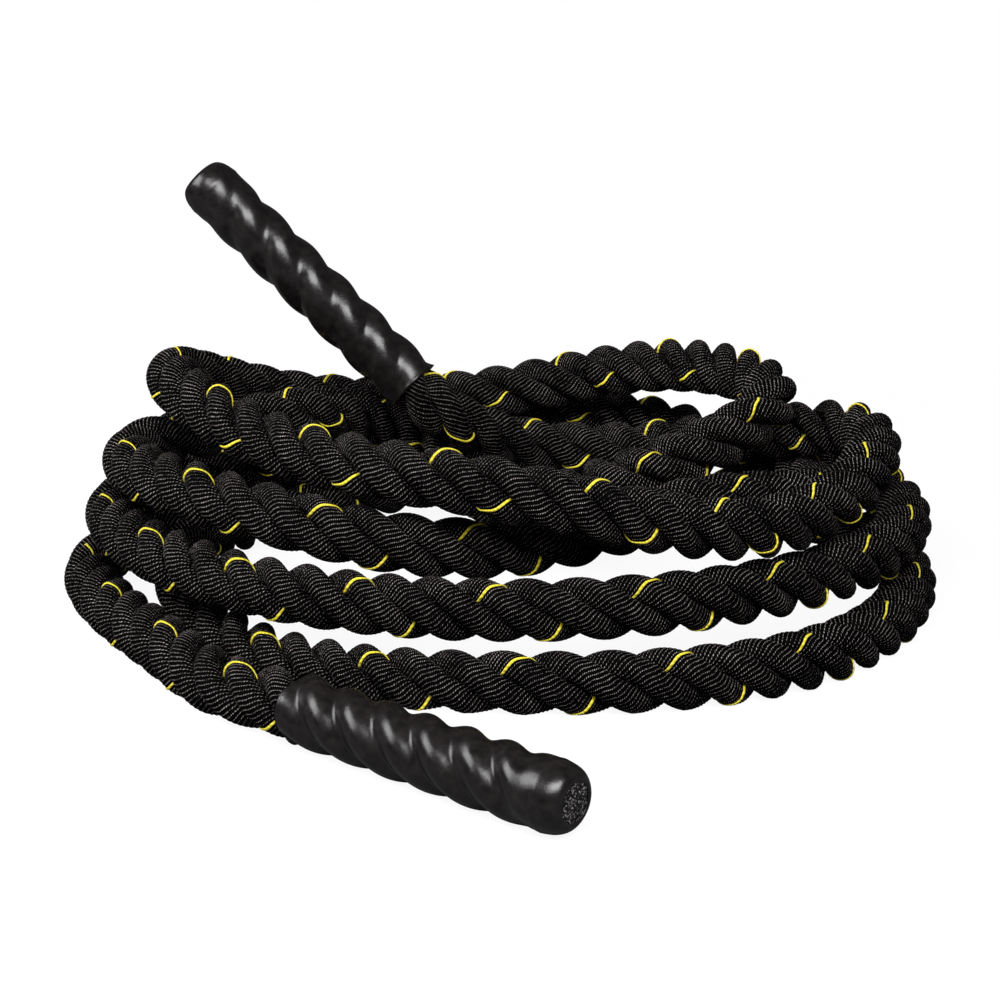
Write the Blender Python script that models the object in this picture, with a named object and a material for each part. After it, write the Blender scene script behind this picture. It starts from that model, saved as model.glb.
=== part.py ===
"""Battle rope: one length of three-strand laid rope, coiled on the floor, with a heat-shrunk
sleeve as the handle on each end. Metres, +Z up; the origin is on the floor under the middle."""

import math

import bmesh
import bpy
import numpy as np
from mathutils import Vector

# The rope
ROPE_DIAMETER = 0.038
STRANDS = 3
CLEARANCE = 0.0003
floor_cut_share = 0.1
not_lowered_share = 1.5
COIL_BEVEL_RESOLUTION = 1
TAIL_BEVEL_RESOLUTION = 3

# The coil follows an oval round its centre. At each station the rope stands out from the oval,
# and up from the floor, by a share of its own diameter.
COIL_HALF_WIDTH = 0.250
COIL_HALF_DEPTH = 0.200
COIL_CENTRE_X = 0.0011
COIL_CENTRE_Y = 0.0667
STATIONS_A_TURN = 8
POINTS_A_TURN = 24

# The lower turns run clockwise, seen from above, and each row is one turn: front left, left,
# back left, back, back right, right, front right, front
LOWER_START_ANGLE = math.radians(225)
lower_reach_shares = (
    (0.83, 0.71, 0.26, 1.16, 0.50, 0.65, 0.84, 0.34),
    (-0.21, -1.02, -0.94, -0.14, 0.36, 0.60, 0.09, -0.39),
    (0.02, 0.22, -0.63, -0.80, -0.67, -0.95, -1.62, -1.35),
    (-0.46, -0.25),
)
lower_height_shares = (
    (0.50, 0.50, 0.50, 0.50, 0.50, 0.50, 0.50, 0.50),
    (0.50, 0.82, 0.54, 0.95, 1.62, 1.43, 1.40, 1.34),
    (1.53, 1.57, 1.46, 2.13, 1.87, 1.76, 2.35, 2.03),
    (2.61, 2.60),
)

# Then the rope crosses the middle, from the back left to the front right: shares of the coil's
# half width and half depth from its centre, and of the rope's diameter from the floor
crossing_shares = (
    (-0.60, 0.26, 2.82),
    (-0.38, 0.46, 2.50),
    (-0.16, 0.41, 1.72),
    (0.00, 0.16, 1.30),
    (0.21, -0.07, 1.86),
    (0.45, -0.18, 2.60),
)

# The upper turn runs the other way: right, back right, back, back left, left, front left,
# front, front right
UPPER_START_ANGLE = 0.0
upper_reach_shares = (
    (-1.86, -1.74, -1.81, -0.98, -0.86, -1.26, -0.50, 0.00),
    (-0.20, -2.62),
)
upper_height_shares = (
    (3.40, 3.51, 2.78, 2.78, 3.91, 3.51, 3.25, 2.41),
    (2.89, 2.10),
)

# The free stretches between the coil and the sleeves, in the same three shares. The last point of
# each is the middle of the sleeve's collar.
lower_tail_shares = ((-0.62, -1.13, 0.45), (-0.487, -1.332, 0.50))
upper_tail_shares = ((0.06, 0.398, 2.11), (-0.10, 0.256, 2.756), (-0.22, 0.218, 3.536))
straight_share = 0.25
tail_step_share = 0.5

# The handles: heat-shrunk sleeves whose lobes follow the strands
SLEEVE_LENGTH = 0.200
SLEEVE_WALL = 0.0015
LOWER_LOBE_DEPTH = 0.0034
UPPER_LOBE_DEPTH = 0.0027
LOWER_SLEEVE_LAY = 0.083
UPPER_SLEEVE_LAY = 0.091
LOBE_FADE_LENGTH = 0.026
DOME_LENGTH = 0.014
MOUTH_RADIUS = 0.012
lobe_sharpness = 1.6
round_end_share = 0.2
LOWER_TURN = math.radians(-36.5)
LOWER_RISE = 0.0
UPPER_TURN = math.radians(170)
UPPER_RISE = math.radians(40)
RING_STEP = 0.0065
DOME_RINGS = 5
SLEEVE_SIDES = 24
STRAND_SIDES = 10
strand_centre_share = 0.55

# Base colours and roughness
YARN_COLOUR = (0.020, 0.019, 0.020)
YARN_ROUGHNESS = 0.75
SLEEVE_COLOUR = (0.016, 0.014, 0.015)
SLEEVE_ROUGHNESS = 0.28
FUSED_COLOUR = (0.030, 0.029, 0.030)
FUSED_ROUGHNESS = 0.6

# The printed check of how near two stretches of rope come
GAP_PIECES = 6
gap_search_share = 3


def unit(vector):
    return vector / np.linalg.norm(vector)


def direction(turn, rise):
    """The direction that points round by one angle and up by another."""
    flat = math.cos(rise)
    return np.array([flat * math.cos(turn), flat * math.sin(turn), math.sin(rise)])


def spline(knots, values, wanted):
    """A natural cubic spline through the values at the knots, read at the wanted places."""
    steps = np.diff(knots)
    slopes = np.diff(values, axis=0) / steps[:, None]
    system = np.eye(len(knots))
    right = np.zeros_like(values)
    for k in range(1, len(steps)):
        system[k, k - 1] = steps[k - 1]
        system[k, k] = 2 * (steps[k - 1] + steps[k])
        system[k, k + 1] = steps[k]
        right[k] = 6 * (slopes[k] - slopes[k - 1])
    bends = np.linalg.solve(system, right)
    span = np.clip(np.searchsorted(knots, wanted) - 1, 0, len(steps) - 1)
    after = (wanted - knots[span])[:, None]
    step = steps[span][:, None]
    start, end = bends[span], bends[span + 1]
    slope = slopes[span] - step * (2 * start + end) / 6
    return values[span] + after * (slope + after * (start / 2 + after * (end - start) / (6 * step)))


def distances_along(points):
    """How far along the line through the points each of them lies."""
    return np.concatenate([[0], np.cumsum(np.linalg.norm(np.diff(points, axis=0), axis=1))])


def turn_stations(start_angle, step_angle, reach_rows, height_rows):
    """The stations of turns that follow one another, one row of shares a turn."""
    reaches = ROPE_DIAMETER * np.concatenate(reach_rows)
    heights = ROPE_DIAMETER * np.concatenate(height_rows)
    angles = start_angle + step_angle * np.arange(len(reaches))
    return np.stack(
        [
            COIL_CENTRE_X + (COIL_HALF_WIDTH + reaches) * np.cos(angles),
            COIL_CENTRE_Y + (COIL_HALF_DEPTH + reaches) * np.sin(angles),
            heights,
        ],
        axis=1,
    )


def places(shares):
    """Places given as shares of the coil's half width and half depth from its centre, and of the
    rope's diameter from the floor."""
    centre = np.array([COIL_CENTRE_X, COIL_CENTRE_Y, 0])
    sizes = np.array([COIL_HALF_WIDTH, COIL_HALF_DEPTH, ROPE_DIAMETER])
    return centre + sizes * np.array(shares)


def coil_stations():
    """All the coil's stations, from the floor to the top."""
    step = 2 * math.pi / STATIONS_A_TURN
    lower = turn_stations(LOWER_START_ANGLE, -step, lower_reach_shares, lower_height_shares)
    upper = turn_stations(UPPER_START_ANGLE, step, upper_reach_shares, upper_height_shares)
    return np.vstack([lower, places(crossing_shares), upper])


def coil_axis():
    """The coil's centre line: a smooth curve through its stations, straight for one diameter at
    each end, and lowered near the floor by the depth of the flat cut."""
    stations = coil_stations()
    knots = distances_along(stations)
    points_a_station = POINTS_A_TURN // STATIONS_A_TURN
    count = (len(stations) - 1) * points_a_station + 1
    wanted = np.interp(np.arange(count) / points_a_station, np.arange(len(stations)), knots)
    points = spline(knots, stations, wanted)
    first = points[0] + ROPE_DIAMETER * unit(points[0] - points[1])
    last = points[-1] + ROPE_DIAMETER * unit(points[-1] - points[-2])
    points = np.vstack([first, points, last])
    near_floor = np.clip(not_lowered_share - points[:, 2] / ROPE_DIAMETER, 0, 1)
    points[:, 2] -= floor_cut_share * ROPE_DIAMETER * near_floor
    return points


def tail_axis(coil_end, away, chosen_shares, handle_axis):
    """A free stretch from the coil's end to a collar: a smooth curve through the chosen points,
    straight for a short way at both ends."""
    chosen = places(chosen_shares)
    collar = chosen[-1]
    lead = straight_share * ROPE_DIAMETER
    line = np.vstack(
        [coil_end, coil_end + lead * away, chosen[:-1], collar - lead * handle_axis, collar]
    )
    knots = distances_along(line)
    count = math.ceil((knots[-2] - knots[1]) / (tail_step_share * ROPE_DIAMETER))
    middle = spline(knots, line, np.linspace(knots[1], knots[-2], count + 1))
    start = coil_end + CLEARANCE * away
    end = collar - CLEARANCE * handle_axis
    return np.vstack([start, middle, end])


def least_gap(points):
    """The least gap between stretches of rope that lie some diameters apart along it."""
    steps = np.arange(GAP_PIECES) / GAP_PIECES
    moves = np.diff(points, axis=0)
    dense = (points[:-1, None] + steps[None, :, None] * moves[:, None]).reshape(-1, 3)
    places = distances_along(dense)
    least = math.inf
    for point, place in zip(dense, places):
        others = dense[places > place + gap_search_share * ROPE_DIAMETER]
        if len(others):
            least = min(least, np.linalg.norm(others - point, axis=1).min())
    return least - ROPE_DIAMETER


def reset_scene():
    """An empty scene with one collection for the rope and one for what cuts it."""
    for thing in list(bpy.data.objects):
        bpy.data.objects.remove(thing, do_unlink=True)
    collections = [bpy.data.collections.new(name) for name in ("battle_rope", "cutters")]
    for collection in collections:
        bpy.context.scene.collection.children.link(collection)
    return collections


def material(name, colour, roughness):
    """A plain plastic or fibre finish."""
    finish = bpy.data.materials.new(name)
    finish.use_nodes = True
    shader = finish.node_tree.nodes["Principled BSDF"]
    shader.inputs["Base Color"].default_value = (*colour, 1)
    shader.inputs["Roughness"].default_value = roughness
    shader.inputs["Metallic"].default_value = 0
    return finish


def add_object(name, data, collection, finish):
    thing = bpy.data.objects.new(name, data)
    collection.objects.link(thing)
    if finish:
        thing.data.materials.append(finish)
    return thing


def rope_tube(name, points, sides_resolution, collection, finish):
    """A plain round tube along the points, with welded caps."""
    curve = bpy.data.curves.new(name + "_line", "CURVE")
    curve.dimensions = "3D"
    curve.twist_mode = "Z_UP"
    curve.bevel_depth = ROPE_DIAMETER / 2
    curve.bevel_resolution = sides_resolution
    curve.use_fill_caps = True
    line = curve.splines.new("POLY")
    line.points.add(len(points) - 1)
    for place, point in zip(line.points, points):
        place.co = (*point, 1)
    guide = add_object(name + "_line", curve, collection, None)
    bpy.context.view_layer.update()
    drawn = guide.evaluated_get(bpy.context.evaluated_depsgraph_get())
    mesh = bpy.data.meshes.new_from_object(drawn)
    bpy.data.objects.remove(guide)
    body = bmesh.new()
    body.from_mesh(mesh)
    bmesh.ops.remove_doubles(body, verts=body.verts, dist=CLEARANCE / 10)
    bmesh.ops.recalc_face_normals(body, faces=body.faces)
    body.to_mesh(mesh)
    body.free()
    mesh.shade_smooth()
    mesh.name = name
    return add_object(name, mesh, collection, finish)


def floor_block(collection):
    """The space under the floor, which cuts the rope flat where it lies."""
    bpy.ops.mesh.primitive_cube_add(size=1)
    block = bpy.context.object
    block.name = "floor_block"
    for holder in block.users_collection:
        holder.objects.unlink(block)
    collection.objects.link(block)
    reach = COIL_HALF_WIDTH + COIL_HALF_DEPTH + SLEEVE_LENGTH
    block.dimensions = (2 * reach, 2 * reach, ROPE_DIAMETER)
    block.location = (COIL_CENTRE_X, COIL_CENTRE_Y, -ROPE_DIAMETER / 2)
    block.hide_render = True
    block.display_type = "WIRE"
    return block


def cut_flat(thing, block):
    cut = thing.modifiers.new("flat_on_floor", "BOOLEAN")
    cut.operation = "DIFFERENCE"
    cut.solver = "EXACT"
    cut.object = block


def lobe_strength(place):
    """One along the sleeve, fading to zero where the end is shrunk round."""
    left = (SLEEVE_LENGTH - DOME_LENGTH - place) / LOBE_FADE_LENGTH
    share = min(1, max(0, left))
    return share * share * (3 - 2 * share)


def profile(depth, lobe_depth):
    """The rings of a skin at a depth inside the sleeve's outer one: how far along each lies, its
    radius on the crest of a lobe, and how deep its lobes are. The last ones close in a dome."""
    dome_start = SLEEVE_LENGTH - DOME_LENGTH
    count = math.ceil(dome_start / RING_STEP)
    rings = []
    for k in range(count + 1):
        place = dome_start * k / count
        strength = lobe_strength(place)
        crest = ROPE_DIAMETER / 2 - round_end_share * lobe_depth * (1 - strength) - depth
        rings.append((place, crest, lobe_depth * strength))
    crest = rings[-1][1]
    for k in range(1, DOME_RINGS + 1):
        turn = math.pi / 2 * k / DOME_RINGS
        place = dome_start + (DOME_LENGTH - depth) * math.sin(turn)
        rings.append((place, MOUTH_RADIUS + (crest - MOUTH_RADIUS) * math.cos(turn), 0))
    return rings


def strand_section(reach, turn):
    """A point of the first strand's oval section, which keeps its clearance to its neighbours."""
    centre = strand_centre_share * reach
    deep = reach - centre
    half = math.pi / STRANDS
    side = centre * math.sin(half) - CLEARANCE / 2
    wide = math.sqrt(side**2 - (deep * math.sin(half)) ** 2) / math.cos(half)
    return centre + deep * math.cos(turn), wide * math.sin(turn)


def loft(name, rings, capped, collection, finish):
    """A skin over rings of equal counts: capped at both ends, or joined round to the first ring."""
    body = bmesh.new()
    rows = [[body.verts.new(point) for point in ring] for ring in rings]
    if capped:
        body.faces.new(rows[0][::-1])
        body.faces.new(rows[-1])
    else:
        rows.append(rows[0])
    for low, high in zip(rows, rows[1:]):
        for k in range(len(low)):
            after = (k + 1) % len(low)
            body.faces.new((low[k], low[after], high[after], high[k]))
    mesh = bpy.data.meshes.new(name)
    body.to_mesh(mesh)
    body.free()
    mesh.shade_smooth()
    return add_object(name, mesh, collection, finish)


def around(radius, angle, place):
    return radius * math.cos(angle), radius * math.sin(angle), place


def sleeve_rings(depth, lobe_depth, lay):
    """The rings of one skin of the sleeve: three lobes that turn right-handed with the strands."""
    rings = []
    for place, crest, lobes in profile(depth, lobe_depth):
        twist = 2 * math.pi * place / lay
        ring = []
        for k in range(SLEEVE_SIDES):
            turn = 2 * math.pi * k / SLEEVE_SIDES
            valley = (0.5 - 0.5 * math.cos(STRANDS * turn)) ** lobe_sharpness
            ring.append(around(crest - lobes * valley, turn + twist, place))
        rings.append(ring)
    return rings


def add_sleeve(name, lobe_depth, lay, collection, finish):
    """The shrunk sleeve: its outer skin from the collar to the mouth, and its inner one back."""
    outer = sleeve_rings(0, lobe_depth, lay)
    inner = sleeve_rings(SLEEVE_WALL, lobe_depth, lay)
    return loft(name, outer + inner[::-1], False, collection, finish)


def add_strand_end(name, number, lobe_depth, lay, collection, finish):
    """One strand inside the sleeve, squeezed to an oval, up to its fused end."""
    first = 2 * math.pi * number / STRANDS
    rings = []
    for place, reach, _ in profile(SLEEVE_WALL + 2 * CLEARANCE, lobe_depth):
        twist = first + 2 * math.pi * place / lay
        ring = []
        for k in range(STRAND_SIDES):
            out, aside = strand_section(reach, 2 * math.pi * k / STRAND_SIDES)
            angle = twist + math.atan2(aside, out)
            ring.append(around(math.hypot(out, aside), angle, place))
        rings.append(ring)
    return loft(name, rings, True, collection, finish)


def add_handle(side, collar, axis, lobe_depth, lay, collection, finishes):
    """A sleeve and its strands, placed by an empty at the middle of the collar."""
    handle = bpy.data.objects.new(side + "_handle", None)
    collection.objects.link(handle)
    handle.location = collar
    handle.rotation_euler = Vector(axis).to_track_quat("Z", "Y").to_euler()
    name = f"handle_sleeve_{side}"
    pieces = [add_sleeve(name, lobe_depth, lay, collection, finishes["sleeve"])]
    for number in range(STRANDS):
        name = f"{side}_strand_end_{number + 1}"
        strand = add_strand_end(name, number, lobe_depth, lay, collection, finishes["strand"])
        pieces.append(strand)
    for piece in pieces:
        piece.parent = handle


def build():
    rope, cutters = reset_scene()
    finishes = {
        "rope": material("laid_yarn", YARN_COLOUR, YARN_ROUGHNESS),
        "sleeve": material("shrunk_plastic", SLEEVE_COLOUR, SLEEVE_ROUGHNESS),
        "strand": material("fused_yarn", FUSED_COLOUR, FUSED_ROUGHNESS),
    }
    coil = coil_axis()
    lower_axis = direction(LOWER_TURN, LOWER_RISE)
    upper_axis = direction(UPPER_TURN, UPPER_RISE)
    lower_tail = tail_axis(coil[0], unit(coil[0] - coil[1]), lower_tail_shares, lower_axis)
    upper_tail = tail_axis(coil[-1], unit(coil[-1] - coil[-2]), upper_tail_shares, upper_axis)
    block = floor_block(cutters)
    finish = finishes["rope"]
    cut_flat(rope_tube("rope_coil", coil, COIL_BEVEL_RESOLUTION, rope, finish), block)
    lower = rope_tube("rope_tail_lower", lower_tail, TAIL_BEVEL_RESOLUTION, rope, finish)
    cut_flat(lower, block)
    rope_tube("rope_tail_upper", upper_tail, TAIL_BEVEL_RESOLUTION, rope, finish)
    lower_collar = lower_tail[-1] + CLEARANCE * lower_axis
    upper_collar = upper_tail[-1] + CLEARANCE * upper_axis
    lower_lobes = (LOWER_LOBE_DEPTH, LOWER_SLEEVE_LAY)
    upper_lobes = (UPPER_LOBE_DEPTH, UPPER_SLEEVE_LAY)
    add_handle("lower", lower_collar, lower_axis, *lower_lobes, rope, finishes)
    add_handle("upper", upper_collar, upper_axis, *upper_lobes, rope, finishes)
    print(f"rope_coil: least gap between its turns {least_gap(coil) * 1000:.2f} mm")
    whole = np.vstack([lower_tail[::-1], coil, upper_tail])
    print(f"whole rope: least gap {least_gap(whole) * 1000:.2f} mm")


build()
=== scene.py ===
"""Battle rope, dressed for the photograph: three laid strands with a yellow tracer yarn, and a
glossy heat-shrunk sleeve on each end. Metres, in the part's own frame."""

import math

import bpy
import numpy as np
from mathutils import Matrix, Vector

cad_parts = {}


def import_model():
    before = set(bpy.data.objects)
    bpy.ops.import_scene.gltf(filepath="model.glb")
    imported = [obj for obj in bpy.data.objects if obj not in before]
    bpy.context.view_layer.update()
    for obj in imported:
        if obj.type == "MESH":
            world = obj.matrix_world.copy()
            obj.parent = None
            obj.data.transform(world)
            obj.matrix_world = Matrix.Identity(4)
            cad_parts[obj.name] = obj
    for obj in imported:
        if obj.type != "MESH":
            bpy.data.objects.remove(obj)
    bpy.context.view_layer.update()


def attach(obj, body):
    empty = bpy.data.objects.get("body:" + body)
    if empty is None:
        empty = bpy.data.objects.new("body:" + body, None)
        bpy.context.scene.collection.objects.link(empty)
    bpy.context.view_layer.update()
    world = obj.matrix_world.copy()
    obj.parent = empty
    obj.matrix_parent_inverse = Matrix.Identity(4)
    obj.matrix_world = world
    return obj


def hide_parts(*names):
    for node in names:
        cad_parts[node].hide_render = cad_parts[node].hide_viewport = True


# The rope, and the oval that its coil follows
ROPE_DIAMETER = 0.038
ROPE_LAY = 0.090
STRANDS = 3
COIL_HALF_WIDTH = 0.250
COIL_HALF_DEPTH = 0.200
COIL_CENTRE_X = 0.0011
COIL_CENTRE_Y = 0.0667
STATIONS_A_TURN = 8

# The lowest loop is pressed flat by a share of the diameter, and no part this high is lowered
floor_cut_share = 0.1
not_lowered_share = 1.5

# The tables of shares from here to the tails weren't chosen by hand: a least-squares fit to the
# loops in the photograph gave them. They were rounded, and some were then changed a little.

# The lower turns run clockwise, seen from above, and each row is one turn: front left, left,
# back left, back, back right, right, front right, front
LOWER_START_ANGLE = math.radians(225)
lower_reach_shares = (
    (0.83, 0.71, 0.26, 1.16, 0.50, 0.65, 0.84, 0.34),
    (-0.21, -1.02, -0.94, -0.14, 0.36, 0.60, 0.09, -0.39),
    (0.02, 0.22, -0.63, -0.80, -0.67, -0.95, -1.62, -1.35),
    (-0.46, -0.25),
)
lower_height_shares = (
    (0.50, 0.50, 0.50, 0.50, 0.50, 0.50, 0.50, 0.50),
    (0.50, 0.82, 0.54, 0.95, 1.62, 1.43, 1.40, 1.34),
    (1.53, 1.57, 1.46, 2.13, 1.87, 1.76, 2.35, 2.03),
    (2.61, 2.60),
)

# Then the rope crosses the middle, from the back left to the front right: shares of the coil's
# half width and half depth from its centre, and of the rope's diameter from the floor
crossing_shares = (
    (-0.60, 0.26, 2.82),
    (-0.38, 0.46, 2.50),
    (-0.16, 0.41, 1.72),
    (0.00, 0.16, 1.30),
    (0.21, -0.07, 1.86),
    (0.45, -0.18, 2.60),
)

# The upper turn runs the other way: right, back right, back, back left, left, front left,
# front, front right
UPPER_START_ANGLE = 0.0
upper_reach_shares = (
    (-1.86, -1.74, -1.81, -0.98, -0.86, -1.26, -0.50, 0.00),
    (-0.20, -2.62),
)
upper_height_shares = (
    (3.40, 3.51, 2.78, 2.78, 3.91, 3.51, 3.25, 2.41),
    (2.89, 2.10),
)

# The free stretches between the coil and the sleeves, in the same three shares. The last point of
# each is the middle of the sleeve's collar.
lower_tail_shares = ((-0.62, -1.13, 0.45), (-0.445, -1.316, 0.53))
upper_tail_shares = ((0.06, 0.398, 2.11), (-0.11, 0.256, 2.70), (-0.24, 0.218, 3.453))

# The strands and their yarns. The yarns turn against the lay.
RING_STEP = 0.0025
STRAND_CENTRE = 0.0102
STRAND_DEEP = 0.0089
STRAND_WIDE = 0.0102
STRAND_GAP = 0.0002
YARNS_A_STRAND = 17
SIDES_A_YARN = 4
YARN_RELIEF = 0.00035
YARN_TURNS_A_LAY = 2.005
SQUEEZE_LENGTH = 0.012
ROUTE_POINTS = 5000
squeezed_share = 0.94

# How far the strands run ahead of an even lay: metres along the rope from the lower collar, and
# turns. A search that laid the tracer over its marks in the photograph gave the first values, and
# more than half were then changed. The yarns have a lead too, and crowd together on the
# strands' crests.
strand_leads = (
    (0.00, 0.24),
    (0.12, 0.16),
    (0.28, 0.30),
    (1.18, 0.88),
    (1.32, 1.10),
    (1.40, 1.20),
    (1.55, 1.10),
    (1.65, 1.35),
    (2.55, 2.02),
    (2.65, 2.32),
    (2.80, 2.52),
    (2.90, 2.45),
    (3.20, 3.00),
    (3.70, 3.55),
    (3.85, 3.85),
    (4.00, 4.10),
    (4.45, 4.10),
    (4.60, 4.30),
    (5.10, 5.35),
    (5.20, 5.65),
    (5.30, 5.75),
    (5.50, 5.70),
    (5.75, 5.83),
    (5.95, 5.77),
    (6.15, 6.15),
    (6.25, 6.45),
    (6.42, 6.80),
    (6.60, 6.59),
)
LEAD_SMOOTHING = 0.04
LEAD_SAMPLES = 9
yarn_lead = 0.19
yarn_crowding = 0.25

# The tracer, one yellow yarn of the first strand
TRACER_HALF_WIDTH = 0.0009
TRACER_HALF_HEIGHT = 0.0005
TRACER_SINK = 0.00005
TRACER_SIDES = 8
tracer_rings_a_step = 2

# Where the handles point: round from +X, and up
LOWER_TURN = math.radians(-39)
LOWER_RISE = 0.0
UPPER_TURN = math.radians(169.5)
UPPER_RISE = math.radians(43.5)

# The sleeves, whose lobes are the strands that they are shrunk over
LOWER_SLEEVE_LENGTH = 0.192
UPPER_SLEEVE_LENGTH = 0.203
SLEEVE_WALL = 0.0012
SLEEVE_LIFT = 0.0012
FLARE_RISE = 0.0014
FLARE_LENGTH = 0.003
LOWER_LOBE_DEPTH = 0.0034
UPPER_LOBE_DEPTH = 0.0027
LOWER_SLEEVE_LAY = 0.083
UPPER_SLEEVE_LAY = 0.094
LOBE_FADE_LENGTH = 0.026
DOME_LENGTH = 0.014
MOUTH_RADIUS = 0.012
LIP_RADIUS = 0.0006
FOLD_RISE = 0.0003
FOLD_WIDTH = 0.0018
valley_rounding = 0.32
round_end_share = 0.2
SLEEVE_SIDES = 96
SLEEVE_RING_STEP = 0.0013
DOME_RINGS = 14
LIP_RINGS = 6

# Two waves make the sleeves' skin uneven: how often round it, and radians a metre along it
UNEVEN_RISE = 0.00012
UNEVEN_WAVES = ((2, 61), (3, -97))

# The strands inside the sleeves
CORE_GAP = 0.0003
CORE_SIDES = 24

# The fused face in each mouth
FACE_RADIUS = 0.0114
FACE_THICKNESS = 0.0004
FACE_SINK = 0.0008
FACE_DOME = 0.0004
FACE_RINGS = 44
FACE_SIDES = 120
GRAIN_COUNT = 130
GRAIN_RISE = 0.0007
GRAIN_BOTTOM = -0.4
GRAIN_SEED = 4

# The map for pictures keeps this share of a row clear, and the caps' small circles lie in it
BAKE_MARGIN = 0.02
CAP_CIRCLE = BAKE_MARGIN / 3

# Nothing goes below the floor. The other two limits are far off.
LEAST_PLACE = (-10.0, -10.0, 0.0)

# The photograph's camera
CAMERA_PLACE = (0.0011, -1.2323, 0.459)
CAMERA_PITCH = math.radians(17)
CAMERA_LENS_MM = 72
CAMERA_SENSOR_MM = 36
LAMP_TARGET = (0, 0, 0.05)

# Each lamp's name, place, width, depth and watts
lamps = (
    ("key", (0.1, -1.25, 1.25), 1.4, 0.65, 33),
    ("left", (-1.15, -0.2, 0.95), 0.9, 0.75, 14),
)

# The room and the floor, which is plain white beyond the fade
WHITE = (1, 1, 1, 1)
ROOM_LIGHT = 0.05
FLOOR_HALF = 12.0
FLOOR_COLOUR = 0.12
FLOOR_GLOW = 0.92
FLOOR_FADE_NEAR = 0.45
FLOOR_FADE_FAR = 0.9

# The yarn's finish, with painted shade black between the yarns and painted highlights grey on their
# crowns. A gain is a factor and a number that is added.
CROWN_SHARPNESS = 2.4
PLY_STEP = 0.0011
PLY_SLANT = 0.9
PLY_SCATTER = 0.5
PLY_FLOOR = 0.05
FIBRE_SCALE = 1500
FIBRE_DETAIL = 2
FIBRE_GAIN = (1.6, -0.1)
PATCH_SCALE = 45
PATCH_DETAIL = 2
PATCH_GAIN = (0.8, 0.6)
# Painted shade in the valleys between the yarns, and painted highlights on their crowns
VALLEY_PAINTED_SHADE = (0.0003, 0.0003, 0.0003)
SHADE_COLOUR = (0.010, 0.0085, 0.0083)
CROWN_PAINTED_HIGHLIGHT = (0.90, 0.80, 0.79)
yarn_shade_and_highlight_stops = ((0.34, VALLEY_PAINTED_SHADE), (0.44, SHADE_COLOUR), (1, CROWN_PAINTED_HIGHLIGHT))
YARN_ROUGHNESS = 0.7
YARN_SPECULAR = 0.03
YARN_BUMP = 0.6
YARN_BUMP_HEIGHT = 0.0004

# The tracer's, the sleeves' and the fused faces' finishes
TRACER_PLY_STEP = 0.0016
# Painted shade in the grooves between the tracer's plies
TRACER_GROOVE_SHADE = (0.80, 0.60, 0.01)
TRACER_COLOUR = (1.0, 0.90, 0.08)
tracer_stops = ((0, TRACER_GROOVE_SHADE), (0.7, TRACER_COLOUR))
SLEEVE_SCALE = 160
SLEEVE_DETAIL = 4
SLEEVE_FINE_SCALE = 1400
SLEEVE_FINE_DETAIL = 3
SLEEVE_FINE_SHARE = 0.35
SLEEVE_DARK = (0.0055, 0.0045, 0.0046)
SLEEVE_COLOUR = (0.016, 0.0130, 0.0132)
sleeve_stops = ((0.3, SLEEVE_DARK), (0.7, SLEEVE_COLOUR))
SLEEVE_ROUGHNESS = 0.15
SLEEVE_ROUGH_RANGE = 0.2
SLEEVE_SPECULAR = 0.55
SLEEVE_BUMP = 0.25
SLEEVE_BUMP_HEIGHT = 0.0008
FUSED_SCALE = 750
# Painted highlights on the grains' tops of the dark fused face
FUSED_GRAIN_HIGHLIGHT = (0.40, 0.37, 0.37)
FUSED_DARK = (0.002, 0.0018, 0.0018)
fused_highlight_stops = ((0.1, FUSED_GRAIN_HIGHLIGHT), (0.45, FUSED_DARK))
FUSED_ROUGHNESS = 0.35


def unit(vector):
    """The vector at length one."""
    return vector / np.linalg.norm(vector)


def direction(turn, rise):
    """The direction that points round by one angle and up by another."""
    flat = math.cos(rise)
    return np.array([flat * math.cos(turn), flat * math.sin(turn), math.sin(rise)])


def spline(knots, values, wanted):
    """A natural cubic spline through the values at the knots, read at the wanted places."""
    steps = np.diff(knots)
    slopes = np.diff(values, axis=0) / steps[:, None]
    system = np.eye(len(knots))
    right = np.zeros_like(values)
    for k in range(1, len(steps)):
        system[k, k - 1] = steps[k - 1]
        system[k, k] = 2 * (steps[k - 1] + steps[k])
        system[k, k + 1] = steps[k]
        right[k] = 6 * (slopes[k] - slopes[k - 1])
    bends = np.linalg.solve(system, right)
    span = np.clip(np.searchsorted(knots, wanted) - 1, 0, len(steps) - 1)
    after = (wanted - knots[span])[:, None]
    step = steps[span][:, None]
    start, end = bends[span], bends[span + 1]
    slope = slopes[span] - step * (2 * start + end) / 6
    return values[span] + after * (slope + after * (start / 2 + after * (end - start) / (6 * step)))


def distances_along(points):
    """How far along the line through the points each of them lies."""
    return np.concatenate([[0], np.cumsum(np.linalg.norm(np.diff(points, axis=0), axis=1))])


def turn_stations(start_angle, step_angle, reach_rows, height_rows):
    """The stations of turns that follow one another, one row of shares a turn."""
    reaches = ROPE_DIAMETER * np.concatenate(reach_rows)
    heights = ROPE_DIAMETER * np.concatenate(height_rows)
    angles = start_angle + step_angle * np.arange(len(reaches))
    return np.stack(
        [
            COIL_CENTRE_X + (COIL_HALF_WIDTH + reaches) * np.cos(angles),
            COIL_CENTRE_Y + (COIL_HALF_DEPTH + reaches) * np.sin(angles),
            heights,
        ],
        axis=1,
    )


def places(shares):
    """Places given as shares of the coil's half width and half depth from its centre, and of the
    rope's diameter from the floor."""
    centre = np.array([COIL_CENTRE_X, COIL_CENTRE_Y, 0])
    sizes = np.array([COIL_HALF_WIDTH, COIL_HALF_DEPTH, ROPE_DIAMETER])
    return centre + sizes * np.array(shares)


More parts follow.
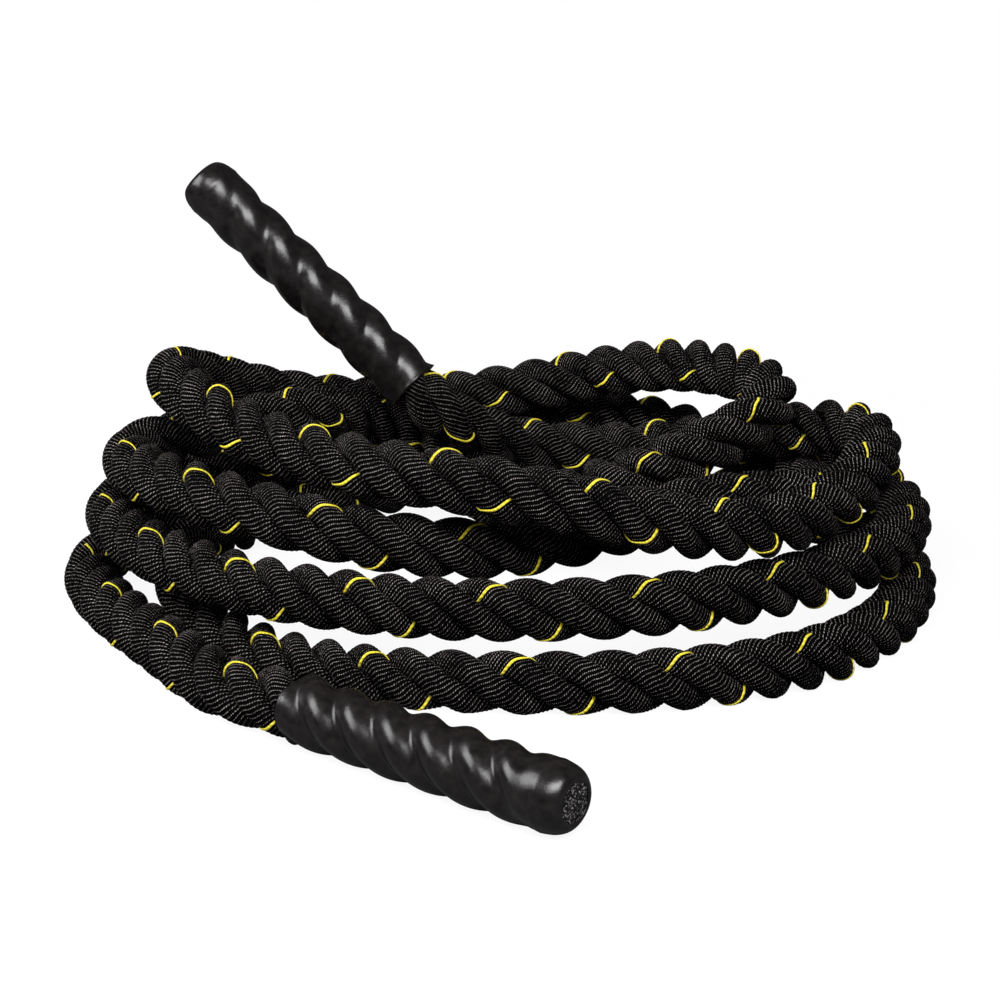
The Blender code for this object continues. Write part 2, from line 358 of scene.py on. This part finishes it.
def lowered(stations):
    """The stations, let down near the floor by the depth that is pressed flat."""
    shares = np.clip(not_lowered_share - stations[:, 2] / ROPE_DIAMETER, 0, 1)
    depths = floor_cut_share * ROPE_DIAMETER * shares
    return stations - depths[:, None] * np.array([0, 0, 1])


def rope_line():
    """The rope's centre line from collar to collar, in even steps."""
    step = 2 * math.pi / STATIONS_A_TURN
    lower = turn_stations(LOWER_START_ANGLE, -step, lower_reach_shares, lower_height_shares)
    upper = turn_stations(UPPER_START_ANGLE, step, upper_reach_shares, upper_height_shares)
    lower_lead = direction(LOWER_TURN, LOWER_RISE) * ROPE_DIAMETER / 2
    upper_lead = direction(UPPER_TURN, UPPER_RISE) * ROPE_DIAMETER / 2
    lower_tail = places(lower_tail_shares)
    upper_tail = places(upper_tail_shares)
    lower_collar = lower_tail[-1]
    upper_collar = upper_tail[-1]
    stations = np.vstack(
        [
            [lower_collar + lower_lead, lower_collar, lower_collar - lower_lead],
            lower_tail[:-1][::-1],
            lowered(np.vstack([lower, places(crossing_shares), upper])),
            upper_tail[:-1],
            [upper_collar - upper_lead, upper_collar, upper_collar + upper_lead],
        ]
    )
    knots = distances_along(stations)
    rough = spline(knots, stations, np.linspace(knots[1], knots[-2], ROUTE_POINTS))
    along = distances_along(rough)
    wanted = np.linspace(0, along[-1], math.ceil(along[-1] / RING_STEP) + 1)
    return np.stack([np.interp(wanted, along, rough[:, k]) for k in range(3)], axis=1)


class Line:
    """A line with a square frame carried along it and the lay's twist at each point."""

    def __init__(self, points):
        self.points = points
        self.along = distances_along(points)
        tangents = np.gradient(points, axis=0)
        tangents /= np.linalg.norm(tangents, axis=1)[:, None]
        self.tangents = tangents
        first = np.empty_like(points)
        first[0] = unit(np.cross(tangents[0], (0, 0, 1)))
        for k in range(1, len(points)):
            carried = first[k - 1] - tangents[k] * (first[k - 1] @ tangents[k])
            first[k] = unit(carried)
        self.first = first
        self.second = np.cross(tangents, first)
        steps = np.linspace(-LEAD_SMOOTHING, LEAD_SMOOTHING, LEAD_SAMPLES)
        near = self.along[:, None] + steps
        leads = np.interp(near, *np.transpose(strand_leads)).mean(1)
        self.twist = 2 * math.pi * (self.along / ROPE_LAY + leads)

    def place(self, turns, reaches):
        """Points at angles and distances round the line, one row of them for each of its points."""
        along_first = (reaches * np.cos(turns))[..., None] * self.first[:, None]
        along_second = (reaches * np.sin(turns))[..., None] * self.second[:, None]
        return self.points[:, None] + along_first + along_second


def strand_section(turns, relief):
    """A strand's section across the rope, by the angle from its crest: an oval that is pressed flat
    where it meets its neighbours. Gives angles and distances round the rope's own middle."""
    turns = turns - yarn_crowding / 2 * np.sin(2 * turns)
    out = STRAND_CENTRE + (STRAND_DEEP + relief) * np.cos(turns)
    aside = (STRAND_WIDE + relief) * np.sin(turns)
    half = math.pi / STRANDS
    clear = out * math.sin(half) - np.abs(aside) * math.cos(half)
    short = np.maximum(STRAND_GAP - clear, 0)
    out = out + short * math.sin(half)
    aside = np.sign(aside) * (np.abs(aside) - short * math.cos(half))
    return np.arctan2(aside, out), np.hypot(out, aside)


def squeeze(line):
    """The share of their size that the strands keep, which is least at the sleeves."""
    left = np.minimum(line.along, line.along[-1] - line.along) / SQUEEZE_LENGTH
    share = np.clip(left, 0, 1)
    return squeezed_share + (1 - squeezed_share) * share * share * (3 - 2 * share)


def strand_turns(line, number):
    """The angle of a strand's crest, and of its first yarn from that crest, at each point."""
    crest = line.twist + 2 * math.pi * number / STRANDS
    return crest, 2 * math.pi * yarn_lead - (1 + YARN_TURNS_A_LAY) * line.twist


def strand_rows(line, number):
    """A strand's rings, whose corners follow its yarns."""
    sides = YARNS_A_STRAND * SIDES_A_YARN
    step = np.arange(sides)
    relief = -YARN_RELIEF * (0.5 - 0.5 * np.cos(2 * math.pi * step / SIDES_A_YARN))
    crest, yarn = strand_turns(line, number)
    turns = yarn[:, None] + 2 * math.pi * step / sides
    angles, reaches = strand_section(turns, relief)
    return line.place(angles + crest[:, None], reaches * squeeze(line)[:, None])


def tracer_rows(line):
    """The tracer's rings: an oval tube that lies where the first strand's first yarn would."""
    fine = Line(finer(line.points, tracer_rings_a_step))
    crest, yarn = strand_turns(fine, 0)
    angles, reaches = strand_section(yarn[:, None], np.full(1, -TRACER_SINK))
    middle = fine.place(angles + crest[:, None], reaches * squeeze(fine)[:, None])[:, 0]
    heart = fine.place(crest[:, None], np.full((len(crest), 1), STRAND_CENTRE))[:, 0]
    tangents = np.gradient(middle, axis=0)
    tangents /= np.linalg.norm(tangents, axis=1)[:, None]
    rise = middle - heart
    rise -= tangents * (rise * tangents).sum(1)[:, None]
    rise /= np.linalg.norm(rise, axis=1)[:, None]
    across = np.cross(rise, tangents)
    turns = 2 * math.pi * np.arange(TRACER_SIDES) / TRACER_SIDES
    wide = (TRACER_HALF_WIDTH * np.sin(turns))[None, :, None] * across[:, None]
    high = (TRACER_HALF_HEIGHT * np.cos(turns))[None, :, None] * rise[:, None]
    return middle[:, None] + wide + high, fine.along


def finer(points, pieces):
    """The same line with each step cut into pieces."""
    count = (len(points) - 1) * pieces + 1
    at = np.arange(count) / pieces
    return np.stack([np.interp(at, np.arange(len(points)), points[:, k]) for k in range(3)], axis=1)


def new_object(name, data):
    """An object in the scene."""
    piece = bpy.data.objects.new(name, data)
    bpy.context.scene.collection.objects.link(piece)
    return piece


def tube_faces(count, sides, closed):
    """The corners of a tube's quads, ring by ring, with each quad's ring."""
    ring = np.arange(sides)
    low = np.arange(count if closed else count - 1)[:, None]
    high = (low + 1) % count
    after = (ring + 1) % sides
    corners = [low * sides + ring, low * sides + after, high * sides + after, high * sides + ring]
    return np.stack(corners, axis=2).reshape(-1, 4), np.repeat(low[:, 0], sides)


def picture_map(across, strip, sides, length, girth):
    """The map for pictures: the tubes' ring steps as one strip, in rows that fill a square."""
    steps = strip.max()
    rows = max(1, round(math.sqrt(length / girth)))
    steps_a_row = math.ceil(steps / rows)
    row = strip[:, :1] // steps_a_row
    clear = 1 - 2 * BAKE_MARGIN
    return np.stack(
        [
            BAKE_MARGIN + clear * (strip - row * steps_a_row) / steps_a_row,
            (row + BAKE_MARGIN + clear * across / sides) / rows,
        ],
        axis=2,
    )


def mesh_of(name, vertices, corners, lengths):
    """A mesh from its vertices, the corners of all its faces and each face's count of corners."""
    mesh = bpy.data.meshes.new(name)
    mesh.vertices.add(len(vertices))
    mesh.vertices.foreach_set("co", vertices.ravel())
    mesh.loops.add(len(corners))
    mesh.loops.foreach_set("vertex_index", corners)
    mesh.polygons.add(len(lengths))
    mesh.polygons.foreach_set("loop_start", np.cumsum(lengths) - lengths)
    return mesh


def add_map(mesh, name, values, sides, cap_count):
    """A map of the quads, with the caps on small circles in the first row's clear margin."""
    turns = 2 * math.pi * np.arange(sides) / sides
    circle = CAP_CIRCLE * np.stack([np.cos(turns), np.sin(turns)], axis=1)
    circles = [circle + (BAKE_MARGIN / 2, (k + 0.5) / cap_count) for k in range(cap_count)]
    pairs = np.concatenate([values.reshape(-1, 2), *circles]).astype(np.float32)
    mesh.uv_layers.new(name=name).uv.foreach_set("vector", pairs.ravel())


def add_skin(name, tubes, material, closed=False):
    """One mesh of tubes over rings of equal counts, closed by caps or joined end to end. Each tube
    is (rings, places along it). It gets a map of its surface, in sides across and metres along, and
    one for pictures."""
    vertices, quads, across, along, strip, caps = [], [], [], [], [], []
    start, strip_start, strip_length = 0, 0, 0
    for rows, places_along in tubes:
        rows = np.maximum(rows, LEAST_PLACE)
        count, sides = rows.shape[:2]
        faces, low = tube_faces(count, sides, closed)
        vertices.append(rows.reshape(-1, 3))
        quads.append(faces + start)
        side = np.tile(np.arange(sides), len(faces) // sides)
        high = (low + 1) % count
        across.append(np.stack([side, side + 1, side + 1, side], axis=1))
        along.append(places_along[np.stack([low, low, high, high], axis=1)])
        strip.append(np.stack([low, low, low + 1, low + 1], axis=1) + strip_start)
        if not closed:
            caps += [np.arange(sides)[::-1] + start, np.arange(sides) + start + (count - 1) * sides]
        start += count * sides
        strip_start += len(faces) // sides
        strip_length += np.linalg.norm(np.diff(rows, axis=0), axis=2).sum() / sides
    girth = np.linalg.norm(np.diff(rows, axis=1), axis=2).sum() / count
    across, strip = np.vstack(across), np.vstack(strip)
    corners = np.concatenate([np.vstack(quads).ravel(), *caps])
    lengths = np.array([4] * len(across) + [sides] * len(caps))
    mesh = mesh_of(name, np.vstack(vertices), corners, lengths)
    surface = np.stack([across, np.vstack(along)], axis=2)
    add_map(mesh, "surface", surface, sides, len(caps))
    picture = picture_map(across, strip, sides, strip_length, girth)
    add_map(mesh, "OFBake", picture, sides, len(caps))
    mesh.update(calc_edges=True)
    mesh.validate()
    mesh.shade_smooth()
    mesh.materials.append(material)
    return new_object(name, mesh)


def new_material(name):
    """A material with its nodes, its links and its shader."""
    material = bpy.data.materials.new(name)
    material.use_nodes = True
    nodes = material.node_tree.nodes
    return material, nodes, material.node_tree.links, nodes["Principled BSDF"]


def surface_parts(nodes, links):
    """The surface map's two coordinates: sides across, metres along."""
    read = nodes.new("ShaderNodeUVMap")
    read.uv_map = "surface"
    split = nodes.new("ShaderNodeSeparateXYZ")
    links.new(read.outputs["UV"], split.inputs["Vector"])
    return split.outputs["X"], split.outputs["Y"]


def worked(nodes, links, operation, *values):
    """A Math node over sockets and numbers."""
    node = nodes.new("ShaderNodeMath")
    node.operation = operation
    for socket, value in zip(node.inputs, values):
        if isinstance(value, (int, float)):
            socket.default_value = value
        else:
            links.new(value, socket)
    return node.outputs["Value"]


def noise_of(nodes, links, scale, detail):
    """Noise over the object's own coordinates."""
    noise = nodes.new("ShaderNodeTexNoise")
    noise.inputs["Scale"].default_value = scale
    noise.inputs["Detail"].default_value = detail
    place = nodes.new("ShaderNodeTexCoord")
    links.new(place.outputs["Object"], noise.inputs["Vector"])
    return noise.outputs["Fac"]


def ramp_of(nodes, links, value, *stops):
    """A colour ramp over a value: pairs of place and colour."""
    ramp = nodes.new("ShaderNodeValToRGB")
    elements = ramp.color_ramp.elements
    while len(elements) < len(stops):
        elements.new(1)
    for element, (place, colour) in zip(elements, stops):
        element.position = place
        element.color = (*colour, 1)
    links.new(value, ramp.inputs["Fac"])
    return ramp.outputs["Color"]


def ply_of(nodes, links, turn):
    """A wave between zero and one, once a turn."""
    beat = worked(nodes, links, "SINE", worked(nodes, links, "MULTIPLY", turn, 2 * math.pi))
    return worked(nodes, links, "MULTIPLY_ADD", beat, 0.5, 0.5)


def bump_of(nodes, links, shader, height, strength, distance):
    """Bumps on a shader, after a height."""
    bump = nodes.new("ShaderNodeBump")
    bump.inputs["Strength"].default_value = strength
    bump.inputs["Distance"].default_value = distance
    links.new(height, bump.inputs["Height"])
    links.new(bump.outputs["Normal"], shader.inputs["Normal"])


def yarn_material():
    """Twisted black yarn, with painted highlights as grey dashes on each yarn's crown and plies,
    and painted shade black between the yarns.
    """
    material, nodes, links, shader = new_material("laid_yarn")

    def math_of(operation, *values):
        return worked(nodes, links, operation, *values)

    side, along = surface_parts(nodes, links)
    yarn = math_of("DIVIDE", side, SIDES_A_YARN)
    wave = math_of("COSINE", math_of("MULTIPLY", yarn, 2 * math.pi))
    crown = math_of("POWER", math_of("MULTIPLY_ADD", wave, 0.5, 0.5), CROWN_SHARPNESS)
    # Each yarn starts its plies at a place of its own
    number = math_of("FLOOR", math_of("ADD", yarn, 0.5))
    start = nodes.new("ShaderNodeTexWhiteNoise")
    start.noise_dimensions = "1D"
    links.new(number, start.inputs["W"])
    turn = math_of("MULTIPLY_ADD", along, 1 / PLY_STEP, math_of("MULTIPLY", yarn, PLY_SLANT))
    turn = math_of("ADD", turn, math_of("MULTIPLY", start.outputs["Value"], PLY_SCATTER))
    ply = ply_of(nodes, links, turn)
    fine = noise_of(nodes, links, FIBRE_SCALE, FIBRE_DETAIL)
    patches = noise_of(nodes, links, PATCH_SCALE, PATCH_DETAIL)
    # The crowns' plies make both the bump and the mask of the painted highlights
    ply_relief_and_highlight = math_of("MULTIPLY", crown, math_of("MULTIPLY_ADD", ply, 1 - PLY_FLOOR, PLY_FLOOR))
    light = math_of("MULTIPLY", ply_relief_and_highlight, math_of("MULTIPLY_ADD", fine, *FIBRE_GAIN))
    light = math_of("MULTIPLY", light, math_of("MULTIPLY_ADD", patches, *PATCH_GAIN))
    # The ramp paints shade black between the yarns and highlights grey on their crowns
    links.new(ramp_of(nodes, links, light, *yarn_shade_and_highlight_stops), shader.inputs["Base Color"])
    shader.inputs["Roughness"].default_value = YARN_ROUGHNESS
    shader.inputs["Specular IOR Level"].default_value = YARN_SPECULAR
    bump_of(nodes, links, shader, ply_relief_and_highlight, YARN_BUMP, YARN_BUMP_HEIGHT)
    return material


def tracer_material():
    """Yellow yarn, with painted shade darker in the grooves between its plies."""
    material, nodes, links, shader = new_material("tracer_yarn")
    side, along = surface_parts(nodes, links)
    slant = worked(nodes, links, "DIVIDE", side, TRACER_SIDES)
    turn = worked(nodes, links, "MULTIPLY_ADD", along, 1 / TRACER_PLY_STEP, slant)
    ply = ply_of(nodes, links, turn)
    links.new(ramp_of(nodes, links, ply, *tracer_stops), shader.inputs["Base Color"])
    shader.inputs["Roughness"].default_value = YARN_ROUGHNESS
    bump_of(nodes, links, shader, ply, YARN_BUMP, YARN_BUMP_HEIGHT)
    return material


def sleeve_material():
    """Glossy black heat-shrink, faintly uneven."""
    material, nodes, links, shader = new_material("shrunk_plastic")
    soft = noise_of(nodes, links, SLEEVE_SCALE, SLEEVE_DETAIL)
    fine = noise_of(nodes, links, SLEEVE_FINE_SCALE, SLEEVE_FINE_DETAIL)
    links.new(ramp_of(nodes, links, soft, *sleeve_stops), shader.inputs["Base Color"])
    rough = worked(nodes, links, "MULTIPLY_ADD", soft, SLEEVE_ROUGH_RANGE, SLEEVE_ROUGHNESS)
    links.new(rough, shader.inputs["Roughness"])
    shader.inputs["Specular IOR Level"].default_value = SLEEVE_SPECULAR
    uneven = worked(nodes, links, "MULTIPLY_ADD", fine, SLEEVE_FINE_SHARE, soft)
    bump_of(nodes, links, shader, uneven, SLEEVE_BUMP, SLEEVE_BUMP_HEIGHT)
    return material


def fused_material():
    """Yarn ends melted together: a grainy dark face, with painted highlights on the grains' tops.
    """
    material, nodes, links, shader = new_material("fused_yarn")
    grains = nodes.new("ShaderNodeTexVoronoi")
    grains.inputs["Scale"].default_value = FUSED_SCALE
    place = nodes.new("ShaderNodeTexCoord")
    links.new(place.outputs["Object"], grains.inputs["Vector"])
    colour = ramp_of(nodes, links, grains.outputs["Distance"], *fused_highlight_stops)
    links.new(colour, shader.inputs["Base Color"])
    shader.inputs["Roughness"].default_value = FUSED_ROUGHNESS
    height = worked(nodes, links, "SUBTRACT", 1, grains.outputs["Distance"])
    bump_of(nodes, links, shader, height, YARN_BUMP, YARN_BUMP_HEIGHT)
    return material


def lobe_strength(left_length):
    """One along the sleeve, fading to zero where the end is shrunk round."""
    left = left_length / LOBE_FADE_LENGTH
    share = min(1, max(0, left))
    return share * share * (3 - 2 * share)


def sleeve_profile(handle, depth):
    """The rings of a skin at a depth inside the outer one: how far along, crest radius, lobes."""
    lobe_depth = handle.lobe_depth
    dome_start = handle.length - DOME_LENGTH
    count = math.ceil(dome_start / SLEEVE_RING_STEP)
    rings = []
    for k in range(count + 1):
        place = dome_start * k / count
        strength = lobe_strength(dome_start - place)
        crest = ROPE_DIAMETER / 2 + SLEEVE_LIFT - round_end_share * lobe_depth * (1 - strength)
        flare = FLARE_RISE * math.exp(-place / FLARE_LENGTH)
        rings.append((place, crest - depth + flare, lobe_depth * strength))
    crest = rings[-1][1]
    for k in range(1, DOME_RINGS + 1):
        turn = math.pi / 2 * k / DOME_RINGS
        place = dome_start + (DOME_LENGTH - depth) * math.sin(turn)
        rings.append((place, MOUTH_RADIUS + (crest - MOUTH_RADIUS) * math.cos(turn), 0))
    return rings


def with_fold(rings, fold):
    """The outer skin with a low ridge where its end is folded over."""
    return [
        (place, crest + FOLD_RISE * math.exp(-(((place - fold) / FOLD_WIDTH) ** 2)), lobes)
        for place, crest, lobes in rings
    ]


def lip_rings(handle):
    """The rolled lip of the mouth, from the outer skin to the inner one."""
    rings = []
    for k in range(1, LIP_RINGS):
        turn = math.pi * k / LIP_RINGS
        place = handle.length - LIP_RADIUS + LIP_RADIUS * math.sin(turn)
        rings.append((place, MOUTH_RADIUS - LIP_RADIUS + LIP_RADIUS * math.cos(turn), 0))
    return rings


class Handle:
    """Where a handle lies, and how its lobes turn."""

    def __init__(self, line, end, axis, length, lobe_depth, lay):
        self.collar = line.points[end]
        self.axis = axis
        self.length = length
        self.first = line.first[end]
        self.second = np.cross(line.tangents[end], self.first)
        self.twist = line.twist[end]
        self.lobe_depth = lobe_depth
        # The lower handle lies at the line's start and points against it, so its lobes turn back
        self.outwards = 1 if end else -1
        self.turn_rate = self.outwards * 2 * math.pi / lay

    def rings(self, angles, reaches, places_out):
        """Rings round the handle's axis, turned over where it points against the line."""
        angles = angles + self.twist + self.turn_rate * places_out[:, None]
        along_first = (reaches * np.cos(angles))[..., None] * self.first
        along_second = (reaches * np.sin(angles))[..., None] * self.second
        points = self.collar + places_out[:, None, None] * self.axis + along_first + along_second
        return points[:, :: self.outwards]


def sleeve_tube(handle):
    """The sleeve's rings, out along its outer skin, over the lip and back along its inner one."""
    turns = 2 * math.pi * np.arange(SLEEVE_SIDES) / SLEEVE_SIDES
    bow = np.hypot(np.cos(STRANDS * turns / 2) * math.sqrt(1 - valley_rounding**2), valley_rounding)
    valley = (1 - bow) / (1 - valley_rounding)
    outer = with_fold(sleeve_profile(handle, 0), handle.length - DOME_LENGTH)
    inner = sleeve_profile(handle, SLEEVE_WALL)
    far, crest, lobes = np.transpose(outer + lip_rings(handle) + inner[::-1])
    waves = [np.sin(often * turns + drift * far[:, None]) for often, drift in UNEVEN_WAVES]
    reaches = crest[:, None] - lobes[:, None] * valley + UNEVEN_RISE * (waves[0] * waves[1])
    return handle.rings(np.broadcast_to(turns, reaches.shape), reaches, far), far


def core_tube(handle, number):
    """One strand inside the sleeve, up to its fused end."""
    far, crest, _ = np.transpose(sleeve_profile(handle, SLEEVE_WALL + CORE_GAP))
    turns = 2 * math.pi * np.arange(CORE_SIDES) / CORE_SIDES
    angles, reaches = strand_section(turns, 0)
    shares = crest / (STRAND_CENTRE + STRAND_DEEP)
    angles = np.broadcast_to(angles + 2 * math.pi * number / STRANDS, (len(far), CORE_SIDES))
    far = far + CORE_GAP
    return handle.rings(angles, reaches * shares[:, None], far), far


def face_tube(handle):
    """The grainy face in the mouth: a thin round plate whose front bulges in grains."""
    turns = 2 * math.pi * np.arange(FACE_SIDES) / FACE_SIDES
    front = np.linspace(1, 1 / FACE_RINGS, FACE_RINGS)
    random = np.random.default_rng(GRAIN_SEED)
    spread = np.sqrt(random.random(GRAIN_COUNT))
    spin = random.random(GRAIN_COUNT) * 2 * math.pi
    grains = np.stack([spread * np.cos(spin), spread * np.sin(spin)], axis=1)
    flat = front[:, None, None] * np.stack([np.cos(turns), np.sin(turns)], axis=1)
    gap = np.linalg.norm(flat[:, :, None] - grains, axis=3).min(2)
    bulge = np.clip(1 - (gap * math.sqrt(GRAIN_COUNT)) ** 2, GRAIN_BOTTOM, 1)
    top = handle.length - FACE_SINK
    heights = top + FACE_DOME * (1 - front[:, None] ** 2) + GRAIN_RISE * bulge / 2
    back = np.full((2, FACE_SIDES), top - FACE_THICKNESS)
    heights = np.vstack([back, heights])
    reaches = FACE_RADIUS * np.concatenate([[1 / FACE_RINGS, 1], front])[:, None]
    reaches = np.broadcast_to(reaches, heights.shape)
    angles = np.broadcast_to(turns, heights.shape)
    rows = handle.rings(angles, reaches, np.zeros(len(heights)))
    rows = rows + heights[:, :: handle.outwards, None] * handle.axis
    return rows, np.concatenate([[0, 1], 1 + np.arange(FACE_RINGS)]) * FACE_RADIUS / FACE_RINGS


def add_camera():
    """The photograph's camera, level across and pitched down."""
    data = bpy.data.cameras.new("camera")
    data.lens = CAMERA_LENS_MM
    data.sensor_width = CAMERA_SENSOR_MM
    camera = new_object("camera", data)
    camera.location = CAMERA_PLACE
    camera.rotation_euler = (math.pi / 2 - CAMERA_PITCH, 0, 0)
    bpy.context.scene.camera = camera


def add_lamp(name, place, width, depth, watts):
    """A soft lamp that faces the coil."""
    data = bpy.data.lights.new(name, "AREA")
    data.shape = "RECTANGLE"
    data.size = width
    data.size_y = depth
    data.energy = watts
    lamp = new_object(name, data)
    lamp.location = place
    lamp.rotation_euler = (Vector(LAMP_TARGET) - Vector(place)).to_track_quat("-Z", "Y").to_euler()


def camera_mix(nodes, links, lit, seen):
    """One shader for the light on the object, and another for what the camera sees."""
    path = nodes.new("ShaderNodeLightPath")
    mix = nodes.new("ShaderNodeMixShader")
    links.new(path.outputs["Is Camera Ray"], mix.inputs["Fac"])
    links.new(lit, mix.inputs[1])
    links.new(seen, mix.inputs[2])
    return mix.outputs["Shader"]


def add_world():
    """A dim room, which shows white to the camera."""
    world = bpy.data.worlds.new("studio")
    bpy.context.scene.world = world
    world.use_nodes = True
    nodes, links = world.node_tree.nodes, world.node_tree.links
    room = nodes["Background"]
    room.inputs["Color"].default_value = WHITE
    room.inputs["Strength"].default_value = ROOM_LIGHT
    white = nodes.new("ShaderNodeBackground")
    white.inputs["Color"].default_value = WHITE
    shown = camera_mix(nodes, links, room.outputs["Background"], white.outputs["Background"])
    links.new(shown, nodes["World Output"].inputs["Surface"])


def add_floor():
    """A floor that the camera sees white, with the object's soft shadow, and plain further off."""
    mesh = bpy.data.meshes.new("floor")
    size = FLOOR_HALF
    corners = [(-size, -size, 0), (size, -size, 0), (size, size, 0), (-size, size, 0)]
    mesh.from_pydata(corners, [], [(0, 1, 2, 3)])
    floor = new_object("floor", mesh)
    material, nodes, links, shader = new_material("floor")
    shader.inputs["Base Color"].default_value = (FLOOR_COLOUR, FLOOR_COLOUR, FLOOR_COLOUR, 1)
    shader.inputs["Roughness"].default_value = 1
    shader.inputs["Specular IOR Level"].default_value = 0
    glow = nodes.new("ShaderNodeEmission")
    glow.inputs["Strength"].default_value = FLOOR_GLOW
    lit = nodes.new("ShaderNodeAddShader")
    links.new(shader.outputs["BSDF"], lit.inputs[0])
    links.new(glow.outputs["Emission"], lit.inputs[1])
    white = nodes.new("ShaderNodeEmission")
    place = nodes.new("ShaderNodeTexCoord")
    length = nodes.new("ShaderNodeVectorMath")
    length.operation = "LENGTH"
    links.new(place.outputs["Object"], length.inputs[0])
    fade = nodes.new("ShaderNodeMapRange")
    fade.inputs["From Min"].default_value = FLOOR_FADE_NEAR
    fade.inputs["From Max"].default_value = FLOOR_FADE_FAR
    links.new(length.outputs["Value"], fade.inputs["Value"])
    near = nodes.new("ShaderNodeMixShader")
    links.new(fade.outputs["Result"], near.inputs["Fac"])
    links.new(lit.outputs["Shader"], near.inputs[1])
    links.new(white.outputs["Emission"], near.inputs[2])
    shown = camera_mix(nodes, links, shader.outputs["BSDF"], near.outputs["Shader"])
    links.new(shown, nodes["Material Output"].inputs["Surface"])
    mesh.materials.append(material)


def add_rope(line, yarn, tracer_finish):
    """The laid rope, with its tracer, from collar to collar."""
    strands = [(strand_rows(line, number), line.along) for number in range(STRANDS)]
    rope = add_skin("laid_rope", strands, yarn)
    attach(rope, "root")
    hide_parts("rope_coil", "rope_tail_lower", "rope_tail_upper")

    tracer = add_skin("tracer_yarn", [tracer_rows(line)], tracer_finish)
    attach(tracer, "root")


def add_handle(side, handle, sleeve_finish, fused):
    """A sleeve, the strands inside it and the fused face in its mouth."""
    sleeve = add_skin(f"shrunk_sleeve_{side}", [sleeve_tube(handle)], sleeve_finish, True)
    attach(sleeve, "root")
    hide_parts(f"handle_sleeve_{side}")
    strands = [core_tube(handle, number) for number in range(STRANDS)]
    core = add_skin(f"sleeved_strands_{side}", strands, fused)
    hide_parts(*(f"{side}_strand_end_{number + 1}" for number in range(STRANDS)))
    face = add_skin(f"fused_face_{side}", [face_tube(handle)], fused)
    for piece in (core, face):
        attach(piece, "root")


def main():
    """The whole scene, round the solids."""
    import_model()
    add_camera()
    line = Line(rope_line())
    yarn = yarn_material()
    tracer_finish = tracer_material()
    sleeve_finish = sleeve_material()
    fused = fused_material()

    add_rope(line, yarn, tracer_finish)
    lower_axis = direction(LOWER_TURN, LOWER_RISE)
    upper_axis = direction(UPPER_TURN, UPPER_RISE)
    lower = Handle(line, 0, lower_axis, LOWER_SLEEVE_LENGTH, LOWER_LOBE_DEPTH, LOWER_SLEEVE_LAY)
    upper = Handle(line, -1, upper_axis, UPPER_SLEEVE_LENGTH, UPPER_LOBE_DEPTH, UPPER_SLEEVE_LAY)
    add_handle("lower", lower, sleeve_finish, fused)
    add_handle("upper", upper, sleeve_finish, fused)

    add_world()
    add_floor()
    for name, place, width, depth, watts in lamps:
        add_lamp(name, place, width, depth, watts)
    bpy.context.scene.view_settings.view_transform = "Standard"


main()
